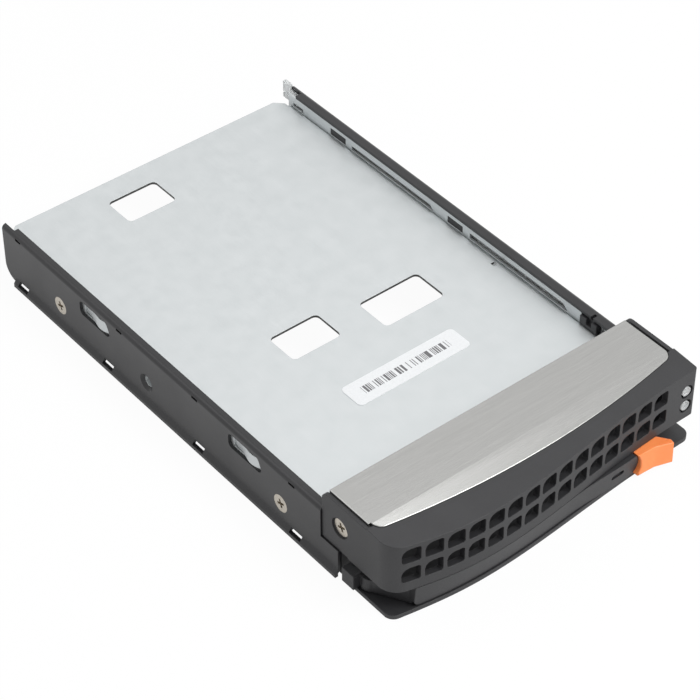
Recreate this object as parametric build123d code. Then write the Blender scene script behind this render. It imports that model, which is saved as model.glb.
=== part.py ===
from build123d import *
import os
from math import cos, pi, radians, sin, tan

# Hot swap drive caddy for a 3.5 inch bay, with a tray for a 2.5 inch drive.
# Millimetres. X runs across the caddy, Y from its front to its rear, Z up.
# The origin lies on the table, under the middle of the whole caddy.

# Whole caddy
overall_length = 183.0
rail_span = 107.7
lip_flare = 0.95
bezel_side_inset = 0.45
rail_height = 19.6
running_gap = 0.3
touch_gap = 0.05

# Sheet thicknesses
rail_sheet = 1.0
liner_sheet = 0.8
tray_sheet = 0.8
plate_sheet = 0.6
label_sheet = 0.12

# Rails
left_flange_width = 2.75
right_flange_width = 3.55
fold_radius = 1.4
lip_top_z = 2.7
lip_knee_z = 1.3
lip_rear_setback = 5.0
rail_rear_setback = 3.4
rail_corner_radius = 4.6
rail_step_rise = 0.2
rail_foot_reach = 7.0
flange_notch_length = 4.5
flange_notch_left_over = 0.4
slit_length = 2.6
slit_height = 0.7
slit_below_top = 1.6
slit_rear_setback = 8.0
slit_steps = (0.0, 50.0, 84.9)
slit_front_behind_arm = 12.1
bottom_slot_length = 4.6
bottom_slot_height = 1.5
bottom_slot_pitch = 42.5
bottom_slot_count = 4
bottom_slot_rear_setback = 9.4
flange_bite_behind_arm = 9.7
flange_bite_size = 1.0
flange_bite_width = 1.6

# Screws that hold the tray. They stand 101.6 mm apart, as in a 3.5 inch drive
screw_rear_setback = 28.5
screw_front_behind_arm = 16.9
middle_hole_step = 41.6
middle_clearance_radius = 2.6
screw_below_tray = 7.0
screw_head_radius = 2.75
screw_shank_radius = 1.45
screw_recess_depth = 0.9
screw_recess_width = 0.75
screw_recess_span = 2.9
screw_sides = 12
thread_clearance = 0.05
hole_clearance = 0.3

# Windows of the left rail, with the sprung fingers of its liner
finger_window_length = 15.0
finger_window_height = 4.8
finger_window_below_top = 4.8
finger_window_slant = 2.2
finger_window_radius = 1.4
finger_window_setback = 46.4
finger_window_behind_arm = 31.7
finger_length = 11.5
finger_height = 3.6
finger_reach = 0.95
finger_sheet = 0.4

# Tray
tray_below_rail = 4.6
tray_rear_overhang = 2.1
tray_wall_foot_z = 3.0
tray_corner_cut = 2.6
tray_fold_radius = 1.1
tray_wall_rear_setback = 2.0
tray_wall_behind_arm = 4.9
tray_ear_before_arm = 0.5
tray_ear_gap = 0.4
tray_under_plate = 5.6
window_radius = 1.6
small_window_width = 16.8
small_window_length = 11.4
small_window_x = -13.0
rear_window_setback = 14.1
front_window_setback = 91.2
wide_window_width = 21.4
wide_window_length = 12.4
wide_window_x = 17.8
wide_window_setback = 95.9
edge_notch_setback = 100.7
edge_notch_size = 1.6

# Label on the tray
label_width = 39.7
label_depth = 8.8
label_x = 0.85
label_behind_arm = 30.9
label_radius = 1.5

# Liners inside the rails
liner_foot_z = 3.2
liner_rear_setback = 1.0
liner_joggle_behind_arm = 4.5
liner_joggle_run = 3.0
liner_tab_below_tray = 3.8
liner_tab_above_screw = 0.8
liner_tab_reach = 3.4
liner_boss_radius = 3.4
rear_cutout = (8.2, 3.3, 1.4, 0.0)
middle_cutout = (69.5, 31.7, 1.5, 1.6)
long_cutout_rear_setback = 85.6
long_cutout_behind_arm = 19.7
long_cutout_rise = 2.0
long_cutout_slant = 2.0

# Bezel
bezel_foot_z = 9.1
bezel_bulge = 5.3
bezel_bulge_power = 0.592
bezel_corner_radius = 6.0
bezel_right_radius = 1.0
face_wall = 2.0
arm_wall = 1.2
floor_wall = 1.3
shelf_wall = 1.1
bezel_height = 17.0
crest_slope = 4.0
crest_behind_corner = 9.8
arm_top_below_crest = 0.5
arm_top_radius = 2.3
arm_rear_behind_corner = 27.3
arm_foot_notch_length = 3.5
shelf_rear_behind_corner = 24.7
groove_clearance = 0.15
bezel_screw_behind_corner = 20.1
bezel_screw_above_foot = 8.5
bezel_screw_sink = 0.55
bezel_screw_run_out = 0.35
counterbore_clearance = 0.4

# Grille
grille_columns = 15
grille_pitch = 6.25
grille_middle_x = -3.95
grille_rows_above_foot = (5.7, 12.5)
grille_hole_width = 5.15
grille_hole_height = 5.0
grille_big_radius = 2.2
grille_small_cut = 0.55
grille_big_steps = 3

# Light pipes
lamp_inset = 3.45
lamp_rows_above_foot = (4.5, 9.7)
lamp_hole_radius = 2.15
lamp_head_radius = 1.8
lamp_head_length = 4.0
lamp_proud = 0.35
pipe_width = 1.2
pipe_height = 1.5
pipe_rows_above_tray = (0.2, 2.3)
pipe_cross_run = 8.4
pipe_drop_front_behind_corner = 6.2
pipe_drop_rear_behind_corner = 24.2
pipe_tip_rise = 2.2
pipe_tip_length = 3.2

# Clips that hold the light pipes in the right rail
clip_below_tray = 1.0
clip_below_flange = 0.5
clip_front_behind_arm = (7.7, 14.3)
clip_setbacks = ((82.4, 75.9), (28.7, 21.6))
clip_window_rise = 2.3
clip_fence = 0.6

# Brushed plate on the bezel
plate_rear_behind_corner = 25.8
plate_left_groove = 0.2
plate_right_groove = 1.3
plate_front_behind_corner = 7.7
plate_front_sag = 4.6
plate_side_drop = 3.4
plate_side_step = 0.7
plate_side_front_behind_corner = 10.3
plate_corner_radius = 3.0
plate_proud = 0.3

# Pocket under the bezel for the lever
pocket_floor = 1.3
pocket_setback = 0.3
pocket_bulge = 3.8
pocket_corner_radius = 3.0
spine_wall = 1.4
spine_behind_corner = 12.8
spine_left_of_pivot = -6.6

# Lever
lever_start_from_pivot = 3.2
lever_end_from_side = 23.4
lever_wall = 2.4
lever_foot_inset = 0.4
lever_proud = 1.5
lever_proud_run = 24.0
lever_end_bulge = 1.3
lever_start_radius = 2.0
lever_end_radius = 0.8
lever_web = 1.2
lever_web_reach = 6.5
lever_rib_count = 6
lever_rib_wall = 1.0
pivot_from_side = 3.8
pivot_behind_corner = 11.8
pin_radius = 1.25
pin_running_clearance = 0.05
barrel_radius = 3.1
barrel_rise = 4.3
hook_reach = 4.2
hook_length = 4.6
hook_height = 4.8
hook_behind_pivot = 1.1
hook_inner_from_pivot = 1.0
grip_slot_from_end = 6.4
grip_slot_z = 5.6
grip_slot_length = 4.6
grip_slot_height = 1.8
grip_slot_depth = 1.0

# Spring of the lever
coil_wire_radius = 0.28
coil_radius = 2.1
coil_turns = 2.5
coil_pitch = 0.72
coil_leg = 7.0
coil_short_leg = 2.0
coil_lift = 0.3
coil_steps = 9
post_radius = 0.7

# Release button
button_gap = 0.4
button_body_width = 8.8
button_flare_reach = 2.4
button_flare_before_corner = 5.0
button_flare_depth = 1.6
button_face_before_corner = 2.7
button_knee_share = 0.62
button_wing_root_behind_corner = 0.6
button_face_lean = 0.4
button_spring_gap = 4.2
button_spring_bore_radius = 2.1
button_spring_bore_depth = 3.4
button_spring_radius = 1.55
button_spring_wire = 0.22
button_spring_turns = 5.0

# Places along the caddy that follow from the sizes above
half_length = overall_length / 2
nose_y = -half_length
corner_y = nose_y + bezel_bulge
rail_rear_y = half_length - rail_rear_setback
tray_rear_y = rail_rear_y + tray_rear_overhang
crest_y = corner_y + crest_behind_corner
arm_rear_y = corner_y + arm_rear_behind_corner
shelf_rear_y = corner_y + shelf_rear_behind_corner
spine_y = corner_y + spine_behind_corner
pivot_y = corner_y + pivot_behind_corner
bezel_screw_y = corner_y + bezel_screw_behind_corner
rail_foot_front_y = arm_rear_y - rail_foot_reach
screw_rear_y = rail_rear_y - screw_rear_setback
screw_front_y = arm_rear_y + screw_front_behind_arm
middle_hole_y = screw_rear_y - middle_hole_step
tray_wall_front_y = arm_rear_y + tray_wall_behind_arm
liner_joggle_y = arm_rear_y + liner_joggle_behind_arm
button_rear_y = spine_y - button_spring_gap
slit_rear_y = rail_rear_y - slit_rear_setback
slit_places = [slit_rear_y - step for step in slit_steps] + [arm_rear_y + slit_front_behind_arm]
window_places = (rail_rear_y - finger_window_setback, arm_rear_y + finger_window_behind_arm)
clip_places = [tuple(arm_rear_y + step for step in clip_front_behind_arm)]
clip_places += [(rail_rear_y - front, rail_rear_y - rear) for front, rear in clip_setbacks]
cutout_places = [(rail_rear_y - front, rail_rear_y - rear, rise, slant)
                 for front, rear, rise, slant in (rear_cutout, middle_cutout)]
cutout_places.append((arm_rear_y + long_cutout_behind_arm, rail_rear_y - long_cutout_rear_setback,
                      long_cutout_rise, long_cutout_slant))

# Places across the caddy
half_rails = rail_span / 2
half_lips = half_rails + lip_flare
half_bezel = half_rails - bezel_side_inset
rail_inner_x = half_rails - rail_sheet
arm_inner_x = half_bezel - arm_wall
left_liner_x = -rail_inner_x
right_liner_x = half_rails - right_flange_width
tray_left_x = left_liner_x + liner_sheet + touch_gap
tray_right_x = right_liner_x
plate_left_x = -arm_inner_x + plate_left_groove
plate_right_x = arm_inner_x - plate_right_groove
lamp_x = half_bezel - lamp_inset
pipe_rear_x = rail_inner_x - touch_gap - pipe_width / 2
pivot_x = -half_bezel + pivot_from_side
spine_left_x = pivot_x - spine_left_of_pivot
lever_left_x = pivot_x + lever_start_from_pivot
lever_right_x = half_bezel - lever_end_from_side
button_left_x = lever_right_x + button_gap
button_right_x = button_left_x + button_body_width
button_spring_x = (button_left_x + button_right_x) / 2

# Heights
tray_z = rail_height - tray_below_rail
screw_z = tray_z - screw_below_tray
liner_tab_foot_z = tray_z - liner_tab_below_tray
crest_z = bezel_foot_z + bezel_height
arm_top_z = crest_z - arm_top_below_crest
bezel_screw_z = bezel_foot_z + bezel_screw_above_foot
flange_under_z = rail_height - rail_sheet
liner_top_z = rail_height - fold_radius - touch_gap
rail_step_z = bezel_foot_z + rail_step_rise
slit_z = rail_height - slit_below_top
finger_window_z = rail_height - finger_window_below_top
grille_rows = [bezel_foot_z + rise for rise in grille_rows_above_foot]
lamp_rows = [bezel_foot_z + rise for rise in lamp_rows_above_foot]
pipe_rows = [tray_z + rise for rise in pipe_rows_above_tray]
clip_foot_z = tray_z - clip_below_tray
clip_top_z = flange_under_z - clip_below_flange
clip_window_top_z = tray_z + clip_window_rise
plate_top_z = crest_z + plate_proud
plate_under_z = plate_top_z - plate_sheet
lever_foot_z = pocket_floor + running_gap
lever_top_z = bezel_foot_z - running_gap
barrel_top_z = lever_foot_z + barrel_rise
margin = 20.0


def box(x0, x1, y0, y1, z0, z1):
    """A block between two corners."""
    return Pos((x0 + x1) / 2, (y0 + y1) / 2, (z0 + z1) / 2) * Box(x1 - x0, y1 - y0, z1 - z0)


def along_y(section, y0, y1):
    """A section drawn in X and Z, drawn out between two stations."""
    return extrude(Plane.XZ.offset(-y1) * section, amount=y1 - y0)


def along_x(section, x0, x1):
    """A section drawn in Y and Z, drawn out between two stations."""
    return extrude(Plane.YZ.offset(x0) * section, amount=x1 - x0)


def upright(section, z0, z1):
    """A plan shape raised between two heights."""
    return extrude(Pos(0, 0, z0) * section, amount=z1 - z0)


def polygon(*points):
    """A flat face with straight sides."""
    return make_face(Polyline(*points, close=True))


def cross_hole(radius, x0, x1, y, z):
    """A round tool along X."""
    return along_x(Pos(y, z) * Circle(radius), x0, x1)


def folded(points, radii, sheet, side):
    """Section of a folded sheet whose outer side follows the points."""
    path = FilletPolyline(*points, radius=radii)
    return make_face(offset(path, amount=sheet, side=side, closed=True).edges())


def bulge_share(x):
    """How far the front face stands out at x, from 0 at its ends to 1 at the nose."""
    place = min(max((x / half_bezel + 1) / 2, 0.0), 1.0)
    return sin(pi * place ** bezel_bulge_power) ** 2


def face_y(x):
    """Front face of the bezel."""
    return corner_y - bezel_bulge * bulge_share(x)


def pocket_y(x):
    """Front edge of the pocket's floor."""
    return corner_y - pocket_setback - pocket_bulge * bulge_share(x)


def lever_stand_out(x):
    """How far the lever stands proud of the bezel towards its right end."""
    ramp = (x - lever_right_x + lever_proud_run) / lever_proud_run
    ramp = min(max(ramp, 0.0), 1.0)
    return lever_proud * ramp * ramp * (3 - 2 * ramp)


def curve(y_of_x, x0, x1, steps=10):
    """A smooth plan curve from x0 to x1."""
    stations = [x0 + (x1 - x0) * i / steps for i in range(steps + 1)]
    return Spline(*[(x, y_of_x(x)) for x in stations])


def band(front, rear, x0, x1):
    """A plan face between a front curve and a rear curve."""
    near = curve(front, x0, x1)
    far = curve(rear, x1, x0)
    sides = Line(near @ 1, far @ 0) + Line(far @ 1, near @ 0)
    return make_face(near + far + sides)


def countersink(side, surface_x, y, z):
    """The tool that sinks a screw head into a sheet, and its hole."""
    sink_radius = screw_head_radius + touch_gap
    hole = screw_shank_radius + hole_clearance
    cone_height = sink_radius - hole
    turned = Pos(surface_x, y, z) * Rot(0, 90 * side, 0)
    cone = Cone(hole, sink_radius, cone_height)
    return turned * Pos(0, 0, -cone_height / 2) * cone + turned * Cylinder(hole, 3 * rail_sheet)


def screw(side, surface_x, y, z, length):
    """A countersunk cross-head screw, driven in from the given side."""
    cone_height = screw_head_radius - screw_shank_radius
    head = Pos(0, 0, -cone_height / 2) * Cone(screw_shank_radius, screw_head_radius, cone_height)
    shank = upright(RegularPolygon(screw_shank_radius, screw_sides), -length, -cone_height / 2)
    body = head + shank
    for turn in (0, 90):
        arm = Pos(0, 0, -screw_recess_depth / 2) * Box(
            screw_recess_span, screw_recess_width, screw_recess_depth)
        body -= Rot(0, 0, turn + 20) * arm
    return Pos(surface_x, y, z) * Rot(0, 90 * side, 0) * body


def rail_section(side, flange_width):
    """Folded section of a rail: top flange, wall and flared foot."""
    outer = side * half_rails
    lip = side * half_lips
    points = [(outer - side * flange_width, rail_height), (outer, rail_height),
              (outer, lip_top_z), (lip, lip_knee_z), (lip, 0)]
    radii = [fold_radius, 1.0, 1.0]
    inward = Side.LEFT if side < 0 else Side.RIGHT
    return folded(points, radii, rail_sheet, inward)


def rail(side, flange_width):
    """A rail with its stepped front, rounded rear corner, slits, slots and screw holes."""
    body = along_y(rail_section(side, flange_width), rail_foot_front_y, rail_rear_y)
    x0, x1 = sorted((side * (half_rails - margin), side * (half_rails + margin)))
    body -= box(x0, x1, rail_foot_front_y - 1, arm_rear_y + touch_gap * 2, rail_step_z, rail_height + 1)
    lip0, lip1 = sorted((side * (half_rails + touch_gap / 10), side * (half_rails + margin)))
    body -= box(lip0, lip1, rail_rear_y - lip_rear_setback, rail_rear_y + 1, -1, lip_top_z + 1)
    radius = rail_corner_radius
    foot_z = lip_knee_z
    corner = box(x0, x1, rail_rear_y - radius, rail_rear_y + 1, -1, foot_z + radius)
    corner -= cross_hole(radius, x0, x1, rail_rear_y - radius, foot_z + radius)
    corner += box(x0, x1, rail_rear_y - lip_rear_setback, rail_rear_y + 1, -1, foot_z)
    body -= corner
    notch_x = side * (half_rails - rail_sheet - flange_notch_left_over)
    n0, n1 = sorted((notch_x, side * (half_rails - margin)))
    body -= box(n0, n1, rail_rear_y - flange_notch_length, rail_rear_y + 1,
                flange_under_z - 1, rail_height + 1)
    w0, w1 = sorted((side * (rail_inner_x - 1), side * (half_rails + 2)))
    for y in slit_places:
        body -= box(w0, w1, y - slit_length / 2, y + slit_length / 2, slit_z, slit_z + slit_height)
    s0, s1 = sorted((side * (half_rails - 0.6 * rail_sheet), side * (half_lips + 1)))
    slot_rear_y = rail_rear_y - bottom_slot_rear_setback
    for i in range(bottom_slot_count):
        y = slot_rear_y - i * bottom_slot_pitch
        z = (lip_top_z + lip_knee_z) / 2
        body -= box(s0, s1, y - bottom_slot_length / 2, y + bottom_slot_length / 2,
                    z - bottom_slot_height / 2, z + bottom_slot_height / 2)
    for y in (screw_rear_y, middle_hole_y, screw_front_y):
        body -= countersink(side, side * half_rails, y, screw_z)
    return body


def finger_window(y, grow=0.0):
    """Section of a finger window: a rounded opening with a slanting front end."""
    half = finger_window_length / 2 + grow
    low = finger_window_z - finger_window_height / 2 - grow
    high = finger_window_z + finger_window_height / 2 + grow
    slanted = (y - half + finger_window_slant, high)
    face = polygon((y - half, low), (y + half, low), (y + half, high), slanted)
    return fillet(face.vertices(), finger_window_radius)


def left_rail():
    """Left rail, with the two windows for the fingers."""
    body = rail(-1, left_flange_width)
    for y in window_places:
        body -= along_x(finger_window(y), -half_lips - 1, -rail_inner_x + 0.2)
    return body


def right_rail():
    """Right rail, whose wider flange covers the light pipes."""
    body = rail(1, right_flange_width)
    bite_y = arm_rear_y + flange_bite_behind_arm
    body -= box(right_liner_x - 1, right_liner_x + flange_bite_width, bite_y, bite_y + flange_bite_size,
                flange_under_z - 1, rail_height + 1)
    return body


def liner_tab(x_outer, x_inner, tab_outer, tab_inner):
    """Front of a liner: a joggled tab that lies behind the bezel's arm."""
    run_y = liner_joggle_y - liner_joggle_run
    tab_y = bezel_screw_y - liner_tab_reach
    rear = liner_joggle_y + 1.0
    plan = polygon((x_outer, rear), (x_outer, liner_joggle_y), (tab_outer, run_y), (tab_outer, tab_y),
                   (tab_inner, tab_y), (tab_inner, run_y), (x_inner, liner_joggle_y), (x_inner, rear))
    return upright(plan, liner_tab_foot_z, bezel_screw_z + liner_tab_above_screw)


def liner_holes(x0, x1):
    """Clearance holes for the rail's screws and the middle hole."""
    holes = [cross_hole(screw_shank_radius + hole_clearance, x0, x1, y, screw_z)
             for y in (screw_rear_y, middle_hole_y, screw_front_y)]
    return holes


def finger(y_front):
    """A sprung finger: it leaves the liner at its rear and bows out through the window."""
    root_x = left_liner_x + liner_sheet
    y_root = y_front + finger_length
    outside = left_liner_x - finger_reach
    along = Vector(0, -1, 0)
    aside = Vector(0.45, -1, 0)
    path = Spline((root_x - finger_sheet, y_root), (outside, y_front + 2.6), (outside + 0.7, y_front),
                  tangents=(along, aside))
    back = Spline((root_x, y_root), (outside + finger_sheet, y_front + 2.6),
                  (outside + finger_sheet + 0.7, y_front), tangents=(along, aside))
    plan = make_face(path + back + Line(path @ 0, back @ 0) + Line(path @ 1, back @ 1))
    plan += make_face(Polyline((root_x - finger_sheet, y_root), (root_x, y_root), (root_x, y_root + 1.2),
                               (root_x - finger_sheet, y_root + 1.2), close=True))
    low = finger_window_z - finger_height / 2
    return upright(plan, low, low + finger_height)


def left_liner():
    """Galvanised strip inside the left rail, with its two fingers and its front tab."""
    x0 = left_liner_x
    x1 = left_liner_x + liner_sheet
    tab_outer = -arm_inner_x + touch_gap
    body = box(x0, x1, liner_joggle_y, rail_rear_y - liner_rear_setback, liner_foot_z, liner_top_z)
    body += liner_tab(x0, x1, tab_outer, tab_outer + liner_sheet)
    for hole in liner_holes(x0 - 2, x1 + 2):
        body -= hole
    for y in window_places:
        y_front = y - finger_window_length / 2 + 2.0
        body -= box(x0 - 1, x1 + 1, y_front - 1.0, y_front + finger_length,
                    finger_window_z - finger_height / 2 - 0.4, finger_window_z + finger_height / 2 + 0.4)
        body += finger(y_front)
    body -= cross_hole(screw_shank_radius + thread_clearance, tab_outer - 2, tab_outer + 3,
                       bezel_screw_y, bezel_screw_z)
    body -= countersink(-1, -half_bezel + bezel_screw_sink, bezel_screw_y, bezel_screw_z)
    return body


def liner_cutout(y0, y1, top, slant):
    """Section of a cut-out above the tray, with a slanting front end."""
    return polygon((y0, tray_z), (y1, tray_z), (y1, top), (y0 + slant, top))


def right_liner():
    """Galvanised strip that closes the right rail's channel, with its cut-outs and spacers."""
    x0 = right_liner_x
    x1 = right_liner_x + liner_sheet
    tab_inner = arm_inner_x - touch_gap - liner_sheet
    body = box(x0, x1, liner_joggle_y, rail_rear_y - liner_rear_setback, liner_foot_z,
               flange_under_z - touch_gap)
    body += liner_tab(x1, x0, tab_inner + liner_sheet, tab_inner)
    for y in (screw_rear_y, screw_front_y):
        body += cross_hole(liner_boss_radius, x1 - 0.1, rail_inner_x, y, screw_z)
    for hole in liner_holes(x0 - 2, rail_inner_x + 1):
        body -= hole
    for y0, y1, rise, slant in cutout_places:
        section = liner_cutout(y0, y1, tray_z + rise, slant)
        body -= along_x(section, x0 - 1, x1 + 0.1)
    for y0, y1 in clip_places[1:]:
        body -= box(x0 - 1, x1 + 0.1, y0 - touch_gap * 2, y1 + touch_gap * 2,
                    tray_z, clip_window_top_z + touch_gap * 2)
    front0, front1 = clip_places[0]
    run_y = liner_joggle_y - liner_joggle_run
    cut_foot_z = clip_foot_z - touch_gap * 2
    body -= box(x0 - 2, x1 + 1.3, run_y - 0.1, liner_joggle_y + 1.5, cut_foot_z, rail_height)
    body -= box(x0 - 2, x1 + 0.1, run_y, front1 + touch_gap * 2, cut_foot_z, rail_height)
    body -= cross_hole(screw_shank_radius + thread_clearance, tab_inner - 2, tab_inner + 3,
                       bezel_screw_y, bezel_screw_z)
    body -= countersink(1, half_bezel - bezel_screw_sink, bezel_screw_y, bezel_screw_z)
    return body


def tray():
    """Galvanised tray: a flat pan with its sides folded down, three windows and cut rear corners."""
    points = [(tray_left_x, tray_wall_foot_z), (tray_left_x, tray_z),
              (tray_right_x, tray_z), (tray_right_x, tray_wall_foot_z)]
    radii = [tray_fold_radius, tray_fold_radius]
    section = folded(points, radii, tray_sheet, Side.RIGHT)
    body = along_y(section, tray_wall_front_y, rail_rear_y - tray_wall_rear_setback)
    ear_front_y = arm_rear_y - tray_ear_before_arm
    ear_top_z = liner_tab_foot_z - tray_ear_gap
    for x in (tray_left_x, tray_right_x - tray_sheet):
        body += box(x, x + tray_sheet, ear_front_y, tray_wall_front_y, tray_wall_foot_z, ear_top_z)
    inner0 = tray_left_x + tray_fold_radius
    inner1 = tray_right_x - tray_fold_radius
    pan0 = tray_z - tray_sheet
    body += box(inner0, inner1, arm_rear_y - tray_under_plate, tray_wall_front_y, pan0, tray_z)
    wall_end_y = rail_rear_y - tray_wall_rear_setback
    cut = tray_corner_cut
    tail = polygon((inner0, wall_end_y), (inner1, wall_end_y), (inner1, tray_rear_y - cut),
                   (inner1 - cut, tray_rear_y), (inner0 + cut, tray_rear_y), (inner0, tray_rear_y - cut))
    body += upright(tail, pan0, tray_z)
    small = RectangleRounded(small_window_width, small_window_length, window_radius)
    for setback in (rear_window_setback, front_window_setback):
        body -= upright(Pos(small_window_x, tray_rear_y - setback) * small, pan0 - 1, tray_z + 1)
    wide = RectangleRounded(wide_window_width, wide_window_length, window_radius)
    body -= upright(Pos(wide_window_x, tray_rear_y - wide_window_setback) * wide, pan0 - 1, tray_z + 1)
    notch = Rectangle(edge_notch_size, edge_notch_size)
    notch_x = inner1 - edge_notch_size / 2
    body -= upright(Pos(notch_x, tray_rear_y - edge_notch_setback) * notch, pan0 - 1, tray_z + 1)
    thread = screw_shank_radius + thread_clearance
    for y in (screw_rear_y, screw_front_y):
        body -= cross_hole(thread, tray_left_x - 1, tray_right_x + 1, y, screw_z)
    body -= cross_hole(middle_clearance_radius, tray_left_x - 1, 0, middle_hole_y, screw_z)
    return body


def grille_hole():
    """One opening of the grille: leaf-shaped, with one large corner and three small cut ones."""
    half_width = grille_hole_width / 2
    half_height = grille_hole_height / 2
    cut = grille_small_cut
    middle_x = grille_big_radius - half_width
    middle_z = half_height - grille_big_radius
    points = [(half_width - cut, -half_height), (half_width, cut - half_height),
              (half_width, half_height - cut), (half_width - cut, half_height)]
    for i in range(grille_big_steps + 1):
        angle = pi / 2 * (1 + i / grille_big_steps)
        points.append((middle_x + grille_big_radius * cos(angle), middle_z + grille_big_radius * sin(angle)))
    points += [(-half_width, cut - half_height), (cut - half_width, -half_height)]
    return polygon(*points)


def bezel_outline(inset_face, inset_side, rear_y):
    """Plan of the bezel, or of its inside, with a curved front."""
    x0 = -half_bezel + inset_side
    x1 = half_bezel - inset_side
    front = curve(lambda x: face_y(x) + inset_face, x0, x1, 12)
    sides = Polyline(front @ 1, (x1, rear_y), (x0, rear_y), front @ 0)
    return make_face(front + sides)


def slope_cutter():
    """Everything above the bezel's top: level behind the crest, falling to the front."""
    fall = tan(radians(crest_slope)) * margin
    section = polygon((crest_y, crest_z), (crest_y - margin, crest_z - fall),
                      (crest_y - margin, crest_z + margin), (arm_rear_y + margin, crest_z + margin),
                      (arm_rear_y + margin, crest_z))
    return along_x(section, -half_bezel - 1, half_bezel + 1)


def bezel_shell():
    """The bezel's curved front, roof, floor and side arms, before its openings."""
    body = upright(bezel_outline(0, 0, arm_rear_y), bezel_foot_z, crest_z + 1)
    left = body.edges().filter_by(Axis.Z).group_by(Axis.Y)[0].sort_by(Axis.X)
    body = fillet(left[0], bezel_corner_radius)
    right = body.edges().filter_by(Axis.Z).filter_by(lambda e: e.center().X > half_bezel - 0.01)
    body = fillet(right.sort_by(Axis.Y)[0], bezel_right_radius)
    inside = upright(bezel_outline(face_wall, arm_wall, arm_rear_y + 1), bezel_foot_z + floor_wall,
                     plate_under_z - shelf_wall)
    corner = inside.edges().filter_by(Axis.Z).group_by(Axis.Y)[0].sort_by(Axis.X)
    inside = chamfer(corner[0], (bezel_corner_radius - arm_wall) * 0.6)
    body -= inside
    body -= slope_cutter()
    return body


def bezel_trims():
    """Tools that open the shell: behind the shelf and floor, the arms' steps and the plate's seat."""
    inner = arm_inner_x
    tools = [box(-inner, inner, shelf_rear_y, arm_rear_y + 1, bezel_foot_z - 1, crest_z + 1)]
    tools.append(box(-inner, inner, spine_y + spine_wall, arm_rear_y + 1, bezel_foot_z - 1,
                     bezel_foot_z + floor_wall + 0.01))
    step_y = crest_y - 0.5
    tools.append(box(-half_bezel - 1, -inner, step_y, arm_rear_y + 1, arm_top_z, crest_z + 1))
    tools.append(box(inner, half_bezel + 1, step_y, arm_rear_y + 1, arm_top_z, crest_z + 1))
    tools.append(box(-inner, plate_left_x + plate_sheet + groove_clearance, step_y, arm_rear_y + 1,
                     bezel_foot_z + floor_wall, crest_z + 1))
    tools.append(box(plate_right_x - plate_sheet - groove_clearance, inner, step_y, arm_rear_y + 1,
                     bezel_foot_z + floor_wall, crest_z + 1))
    for side in (-1, 1):
        x0, x1 = sorted((side * inner, side * (half_bezel + 1)))
        foot = box(x0, x1, rail_foot_front_y - touch_gap * 4, arm_rear_y + 1,
                   bezel_foot_z - 1, rail_step_z + touch_gap * 4)
        notch_y = rail_foot_front_y - arm_foot_notch_length
        foot += box(x0, x1, notch_y, rail_foot_front_y + 1, bezel_foot_z - 1, rail_step_z + touch_gap * 4)
        tools.append(foot)
        sink_x = side * half_bezel
        depth = bezel_screw_sink + touch_gap
        radius = screw_head_radius + counterbore_clearance
        b0, b1 = sorted((sink_x - side * depth, sink_x + side * 1.0))
        tools.append(cross_hole(radius, b0, b1, bezel_screw_y, bezel_screw_z))
        tools.append(countersink(side, sink_x - side * bezel_screw_sink, bezel_screw_y, bezel_screw_z))
    lamp_hole = Circle(lamp_hole_radius)
    for z in lamp_rows:
        tools.append(along_y(Pos(lamp_x, z) * lamp_hole, nose_y - 1, corner_y + face_wall + 1))
    return tools


def pocket():
    """Spine and floor under the bezel, between which the lever and the button lie."""
    rear_y = spine_y + spine_wall
    floor = make_face(curve(pocket_y, -half_bezel, half_bezel) + Polyline(
        (half_bezel, pocket_y(half_bezel)), (half_bezel, rear_y), (-half_bezel, rear_y),
        (-half_bezel, pocket_y(-half_bezel))))
    body = upright(floor, 0, pocket_floor)
    front = body.edges().filter_by(Axis.Z).group_by(Axis.Y)[0]
    body = fillet(front, pocket_corner_radius)
    body += box(spine_left_x, half_bezel, spine_y, rear_y, pocket_floor - 0.1, bezel_foot_z + floor_wall)
    return body


def bezel():
    """The black moulding: face with grille, arms, shelf for the plate, and the lever's pocket."""
    body = bezel_shell()
    for tool in bezel_trims():
        body -= tool
    arms = body.edges().filter_by(Axis.X).filter_by(
        lambda e: abs(e.center().Y - arm_rear_y) < 0.01 and abs(e.center().Z - arm_top_z) < 0.01)
    body = fillet(arms, arm_top_radius)
    body -= plate_seat()
    hole = grille_hole()
    tools = []
    for column in range(grille_columns):
        x = grille_middle_x + (column - (grille_columns - 1) / 2) * grille_pitch
        y = face_y(x) + face_wall + 2.5
        for z in grille_rows:
            tools.append(along_y(Pos(x, z) * hole, nose_y - 1, y))
    body -= tools
    body += pocket()
    body -= Pos(pivot_x, pivot_y, 0) * Cylinder(pin_radius, 4 * bezel_foot_z)
    return body


def plate_plan(grow=0.0):
    """Plan of the brushed plate: straight rear, stepped left side and curved front."""
    left = plate_left_x + plate_side_step - grow
    right = plate_right_x + grow
    front_y = corner_y + plate_front_behind_corner - grow
    rear_y = corner_y + plate_rear_behind_corner + grow
    middle = ((left + right) / 2, front_y - plate_front_sag)
    arc = ThreePointArc((left, front_y), middle, (right, front_y))
    face = make_face(arc + Polyline((right, front_y), (right, rear_y), (left, rear_y), (left, front_y)))
    corners = face.vertices().group_by(Axis.Y)[0]
    return fillet(corners, plate_corner_radius)


def plate_section(top_z, thickness):
    """Side view of the plate: level at the rear, falling with the bezel's slope at the front."""
    fall = tan(radians(crest_slope)) * margin
    rear_y = corner_y + plate_rear_behind_corner + 1
    return polygon((rear_y, top_z), (crest_y, top_z), (crest_y - margin, top_z - fall),
                   (crest_y - margin, top_z - fall - thickness), (crest_y, top_z - thickness),
                   (rear_y, top_z - thickness))


def plate_seat():
    """The shallow seat that the bezel's top has for the plate."""
    plan = upright(plate_plan(0.15), plate_under_z - margin, plate_top_z + margin)
    return plan & along_x(plate_section(plate_top_z + 2, 2 + plate_sheet), -half_bezel, half_bezel)


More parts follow.
